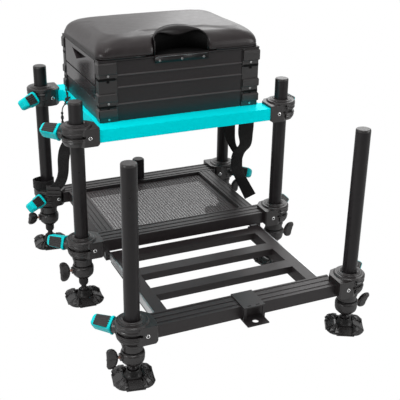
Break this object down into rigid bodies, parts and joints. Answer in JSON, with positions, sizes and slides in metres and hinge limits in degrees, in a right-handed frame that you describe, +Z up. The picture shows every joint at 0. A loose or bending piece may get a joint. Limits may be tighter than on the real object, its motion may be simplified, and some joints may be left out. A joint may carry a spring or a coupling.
{
  "type": "fishing seat box",
  "caption": "Padded seat box with side drawers on an adjustable leg frame, with a tray under it and a slide-out footplate standing on mud feet.",
  "frame": {"origin": "on the ground under the centre of the bounding box", "axes": "+Z up, -Y towards the footplate, +X to the sitter's left-hand side seen from the front"},
  "size_m": [0.7354, 0.8482, 0.701],
  "materials": {
    "black_anodised": "satin",
    "turquoise_rail": "gloss",
    "bare_aluminium": "satin",
    "black_nylon": "matte",
    "knob_nylon": "satin",
    "black_mesh": "matte",
    "box_aluminium": "satin",
    "glossy_panel": "gloss",
    "zinc_steel": "polished",
    "black_steel": "satin",
    "black_vinyl": "satin",
    "pocket_moulding": "satin",
    "black_rubber": "matte",
    "black_webbing": "matte",
    "black_cord": "matte"
  },
  "bodies": {
    "leg_set": {"frame_leg_tubes": "black_anodised", "frame_leg_caps": "black_nylon", "frame_leg_collars": "black_nylon"},
    "tray_frame": {"tray_rails": "black_anodised", "tray_mesh_floor": "black_mesh", "tray_clamps": "black_nylon", "tray_runners": "black_anodised", "accessory_post": "black_anodised"},
    "seat_frame": {"seat_frame_rails": "turquoise_rail", "seat_clamps": "black_nylon", "box_lower_unit": "box_aluminium", "box_middle_unit": "box_aluminium", "box_upper_unit": "box_aluminium", "box_corner_blocks": "black_nylon", "catch_pins": "zinc_steel", "carry_straps": "black_webbing", "rail_cord": "black_cord", "cord_toggle": "black_nylon"},
    "lid": {"lid_shell": "box_aluminium", "seat_cushion": "black_vinyl", "handle_pocket": "pocket_moulding", "handle_rivets": "zinc_steel"},
    "upper_drawer": {"side_drawer_upper": "glossy_panel"},
    "lower_drawer": {"side_drawer_lower": "glossy_panel"},
    "footplate": {"footplate_frame": "black_anodised", "footplate_slide_bars": "bare_aluminium", "footplate_clamps": "black_nylon", "front_bracket": "black_steel"},
    "footplate_leg_left": {"footplate_tube_left": "black_anodised", "footplate_leg_fittings_left": "black_nylon"},
    "footplate_leg_right": {"footplate_tube_right": "black_anodised", "footplate_leg_fittings_right": "black_nylon"},
    "inner_leg_front_left": {"inner_leg_front_left": "black_anodised"},
    "inner_leg_front_right": {"inner_leg_front_right": "black_anodised"},
    "inner_leg_rear_left": {"inner_leg_rear_left": "black_anodised"},
    "inner_leg_rear_right": {"inner_leg_rear_right": "black_anodised"},
    "inner_leg_footplate_left": {"inner_leg_footplate_left": "black_anodised"},
    "inner_leg_footplate_right": {"inner_leg_footplate_right": "black_anodised"},
    "mud_foot_front_left": {"mud_foot_front_left": "black_rubber"},
    "mud_foot_front_right": {"mud_foot_front_right": "black_rubber"},
    "mud_foot_rear_left": {"mud_foot_rear_left": "black_rubber"},
    "mud_foot_rear_right": {"mud_foot_rear_right": "black_rubber"},
    "mud_foot_footplate_left": {"mud_foot_footplate_left": "black_rubber"},
    "mud_foot_footplate_right": {"mud_foot_footplate_right": "black_rubber"},
    "seat_knob_front_left": {"seat_knob_front_left": "knob_nylon"},
    "seat_knob_front_right": {"seat_knob_front_right": "knob_nylon"},
    "seat_knob_rear_left": {"seat_knob_rear_left": "knob_nylon"},
    "seat_knob_rear_right": {"seat_knob_rear_right": "knob_nylon"},
    "tray_knob_front_left": {"tray_knob_front_left": "knob_nylon"},
    "tray_knob_front_right": {"tray_knob_front_right": "knob_nylon"},
    "tray_knob_rear_left": {"tray_knob_rear_left": "knob_nylon"},
    "tray_knob_rear_right": {"tray_knob_rear_right": "knob_nylon"},
    "footplate_knob_left": {"footplate_knob_left": "knob_nylon"},
    "footplate_knob_right": {"footplate_knob_right": "knob_nylon"},
    "wing_screw_front_left": {"wing_screw_front_left": "black_nylon"},
    "wing_screw_front_right": {"wing_screw_front_right": "black_nylon"},
    "wing_screw_rear_left": {"wing_screw_rear_left": "black_nylon"},
    "wing_screw_rear_right": {"wing_screw_rear_right": "black_nylon"},
    "wing_screw_footplate_left": {"wing_screw_footplate_left": "black_nylon"},
    "wing_screw_footplate_right": {"wing_screw_footplate_right": "black_nylon"}
  },
  "joints": [
    {"name": "seat_height", "type": "slide", "parent": "leg_set", "child": "seat_frame", "axis": [0, 0, 1], "range_m": [-0.1, 0.045], "deforming": ["carry_straps"]},
    {"name": "tray_height", "type": "slide", "parent": "leg_set", "child": "tray_frame", "axis": [0, 0, 1], "range_m": [0, 0.08], "deforming": ["carry_straps"]},
    {"name": "footplate_slide", "type": "slide", "parent": "tray_frame", "child": "footplate", "axis": [0, 1, 0], "range_m": [0, 0.22]},
    {"name": "lid_hinge", "type": "hinge", "parent": "seat_frame", "child": "lid", "pos_m": [0, 0.36255, 0.625], "axis": [-1, 0, 0], "range_deg": [0, 95]},
    {"name": "upper_drawer_slide", "type": "slide", "parent": "seat_frame", "child": "upper_drawer", "axis": [-1, 0, 0], "range_m": [0, 0.3]},
    {"name": "lower_drawer_slide", "type": "slide", "parent": "seat_frame", "child": "lower_drawer", "axis": [-1, 0, 0], "range_m": [0, 0.3]},
    {"name": "footplate_leg_left_slide", "type": "slide", "parent": "footplate", "child": "footplate_leg_left", "axis": [0, 0, -1], "range_m": [0, 0.32]},
    {"name": "footplate_leg_right_slide", "type": "slide", "parent": "footplate", "child": "footplate_leg_right", "axis": [0, 0, -1], "range_m": [0, 0.32]},
    {"name": "inner_leg_front_left_slide", "type": "slide", "parent": "leg_set", "child": "inner_leg_front_left", "axis": [0, 0, -1], "range_m": [0, 0.28]},
    {"name": "inner_leg_front_right_slide", "type": "slide", "parent": "leg_set", "child": "inner_leg_front_right", "axis": [0, 0, -1], "range_m": [0, 0.28]},
    {"name": "inner_leg_rear_left_slide", "type": "slide", "parent": "leg_set", "child": "inner_leg_rear_left", "axis": [0, 0, -1], "range_m": [0, 0.28]},
    {"name": "inner_leg_rear_right_slide", "type": "slide", "parent": "leg_set", "child": "inner_leg_rear_right", "axis": [0, 0, -1], "range_m": [0, 0.28]},
    {"name": "inner_leg_footplate_left_slide", "type": "slide", "parent": "footplate_leg_left", "child": "inner_leg_footplate_left", "axis": [0, 0, -1], "range_m": [0, 0.28]},
    {"name": "inner_leg_footplate_right_slide", "type": "slide", "parent": "footplate_leg_right", "child": "inner_leg_footplate_right", "axis": [0, 0, -1], "range_m": [0, 0.28]},
    {"name": "mud_foot_front_left_tilt", "type": "hinge", "parent": "inner_leg_front_left", "child": "mud_foot_front_left", "pos_m": [-0.2864, 0.01965, 0.028], "axis": [1, 0, 0], "range_deg": [-15, 15]},
    {"name": "mud_foot_front_right_tilt", "type": "hinge", "parent": "inner_leg_front_right", "child": "mud_foot_front_right", "pos_m": [0.2864, 0.01965, 0.028], "axis": [1, 0, 0], "range_deg": [-15, 15]},
    {"name": "mud_foot_rear_left_tilt", "type": "hinge", "parent": "inner_leg_rear_left", "child": "mud_foot_rear_left", "pos_m": [-0.2864, 0.37265, 0.028], "axis": [1, 0, 0], "range_deg": [-15, 15]},
    {"name": "mud_foot_rear_right_tilt", "type": "hinge", "parent": "inner_leg_rear_right", "child": "mud_foot_rear_right", "pos_m": [0.2864, 0.37265, 0.028], "axis": [1, 0, 0], "range_deg": [-15, 15]},
    {"name": "mud_foot_footplate_left_tilt", "type": "hinge", "parent": "inner_leg_footplate_left", "child": "mud_foot_footplate_left", "pos_m": [-0.2864, -0.36835, 0.028], "axis": [1, 0, 0], "range_deg": [-15, 15]},
    {"name": "mud_foot_footplate_right_tilt", "type": "hinge", "parent": "inner_leg_footplate_right", "child": "mud_foot_footplate_right", "pos_m": [0.2864, -0.36835, 0.028], "axis": [1, 0, 0], "range_deg": [-15, 15]},
    {"name": "seat_knob_front_left_turn", "type": "hinge", "parent": "seat_frame", "child": "seat_knob_front_left", "pos_m": [-0.2864, 0.01965, 0.467], "axis": [-0.7071, 0.7071, 0], "continuous": true},
    {"name": "seat_knob_front_right_turn", "type": "hinge", "parent": "seat_frame", "child": "seat_knob_front_right", "pos_m": [0.2864, 0.01965, 0.467], "axis": [0.7071, 0.7071, 0], "continuous": true},
    {"name": "seat_knob_rear_left_turn", "type": "hinge", "parent": "seat_frame", "child": "seat_knob_rear_left", "pos_m": [-0.2864, 0.37265, 0.467], "axis": [-0.7071, -0.7071, 0], "continuous": true},
    {"name": "seat_knob_rear_right_turn", "type": "hinge", "parent": "seat_frame", "child": "seat_knob_rear_right", "pos_m": [0.2864, 0.37265, 0.467], "axis": [0.7071, -0.7071, 0], "continuous": true},
    {"name": "tray_knob_front_left_turn", "type": "hinge", "parent": "tray_frame", "child": "tray_knob_front_left", "pos_m": [-0.2864, 0.01965, 0.158], "axis": [-0.7071, 0.7071, 0], "continuous": true},
    {"name": "tray_knob_front_right_turn", "type": "hinge", "parent": "tray_frame", "child": "tray_knob_front_right", "pos_m": [0.2864, 0.01965, 0.158], "axis": [0.7071, 0.7071, 0], "continuous": true},
    {"name": "tray_knob_rear_left_turn", "type": "hinge", "parent": "tray_frame", "child": "tray_knob_rear_left", "pos_m": [-0.2864, 0.37265, 0.158], "axis": [-0.7071, -0.7071, 0], "continuous": true},
    {"name": "tray_knob_rear_right_turn", "type": "hinge", "parent": "tray_frame", "child": "tray_knob_rear_right", "pos_m": [0.2864, 0.37265, 0.158], "axis": [0.7071, -0.7071, 0], "continuous": true},
    {"name": "footplate_knob_left_turn", "type": "hinge", "parent": "footplate", "child": "footplate_knob_left", "pos_m": [-0.2864, -0.36835, 0.1325], "axis": [-0.7071, 0.7071, 0], "continuous": true},
    {"name": "footplate_knob_right_turn", "type": "hinge", "parent": "footplate", "child": "footplate_knob_right", "pos_m": [0.2864, -0.36835, 0.1325], "axis": [0.7071, 0.7071, 0], "continuous": true},
    {"name": "wing_screw_front_left_turn", "type": "hinge", "parent": "leg_set", "child": "wing_screw_front_left", "pos_m": [-0.2864, 0.01965, 0.0915], "axis": [-1, 0, 0], "continuous": true},
    {"name": "wing_screw_front_right_turn", "type": "hinge", "parent": "leg_set", "child": "wing_screw_front_right", "pos_m": [0.2864, 0.01965, 0.0915], "axis": [1, 0, 0], "continuous": true},
    {"name": "wing_screw_rear_left_turn", "type": "hinge", "parent": "leg_set", "child": "wing_screw_rear_left", "pos_m": [-0.2864, 0.37265, 0.0915], "axis": [-1, 0, 0], "continuous": true},
    {"name": "wing_screw_rear_right_turn", "type": "hinge", "parent": "leg_set", "child": "wing_screw_rear_right", "pos_m": [0.2864, 0.37265, 0.0915], "axis": [1, 0, 0], "continuous": true},
    {"name": "wing_screw_footplate_left_turn", "type": "hinge", "parent": "footplate_leg_left", "child": "wing_screw_footplate_left", "pos_m": [-0.2864, -0.36835, 0.067], "axis": [-1, 0, 0], "continuous": true},
    {"name": "wing_screw_footplate_right_turn", "type": "hinge", "parent": "footplate_leg_right", "child": "wing_screw_footplate_right", "pos_m": [0.2864, -0.36835, 0.067], "axis": [1, 0, 0], "continuous": true}
  ]
}
